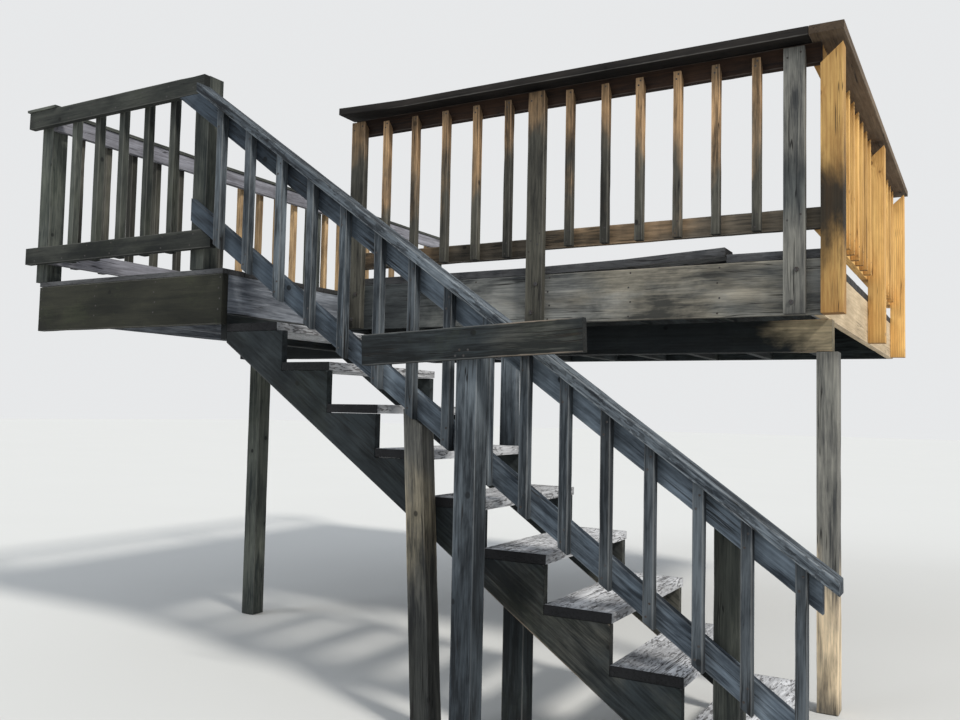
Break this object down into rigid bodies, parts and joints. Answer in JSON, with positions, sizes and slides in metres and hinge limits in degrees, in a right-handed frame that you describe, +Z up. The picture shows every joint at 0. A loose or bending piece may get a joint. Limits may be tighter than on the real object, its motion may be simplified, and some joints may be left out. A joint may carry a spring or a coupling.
{
  "type": "raised timber deck with landing and open stair",
  "caption": "Weathered timber deck on posts with a lower side walkway and landing, an open straight stair with sawtooth stringers, and post-and-baluster guards.",
  "frame": {"origin": "middle of the back face of the deck's house ledger, where it meets the wall", "axes": "+X along the deck's front in the direction the stair goes down, +Y into the house wall, +Z up"},
  "size_m": [4.122, 4.139, 2.861],
  "materials": {
    "grey_timber": "matte",
    "honey_timber": "matte",
    "dark_timber": "matte"
  },
  "bodies": {
    "root": {"beam_back_ply": "grey_timber", "beam_front_ply": "grey_timber", "beam_posts": "dark_timber", "brace_post": "grey_timber", "corner_post": "honey_timber", "cross_board": "dark_timber", "cross_post": "grey_timber", "deck_boards": "grey_timber", "deck_joists": "grey_timber", "far_stringer": "grey_timber", "front_balusters": "grey_timber", "front_cap": "dark_timber", "front_post_left": "grey_timber", "front_post_middle": "grey_timber", "front_post_right": "grey_timber", "front_rails": "grey_timber", "front_rim_joist": "grey_timber", "hanger_post": "grey_timber", "house_ledgers": "grey_timber", "landing_balusters": "grey_timber", "landing_fascia": "grey_timber", "landing_post_left": "grey_timber", "landing_post_right": "grey_timber", "landing_rails": "grey_timber", "left_balusters": "grey_timber", "left_caps": "grey_timber", "left_post_end": "grey_timber", "left_post_middle": "grey_timber", "left_rails": "grey_timber", "lower_newel": "dark_timber", "middle_post": "dark_timber", "near_stringer": "grey_timber", "right_rim_joist": "grey_timber", "side_balusters": "honey_timber", "side_cap": "honey_timber", "side_post_end": "honey_timber", "side_post_middle": "honey_timber", "side_rails": "honey_timber", "stair_balusters": "grey_timber", "stair_cap": "grey_timber", "stair_rails": "grey_timber", "stringer_header": "grey_timber", "treads": "grey_timber", "walkway_boards": "grey_timber", "walkway_joists": "grey_timber"}
  },
  "joints": []
}
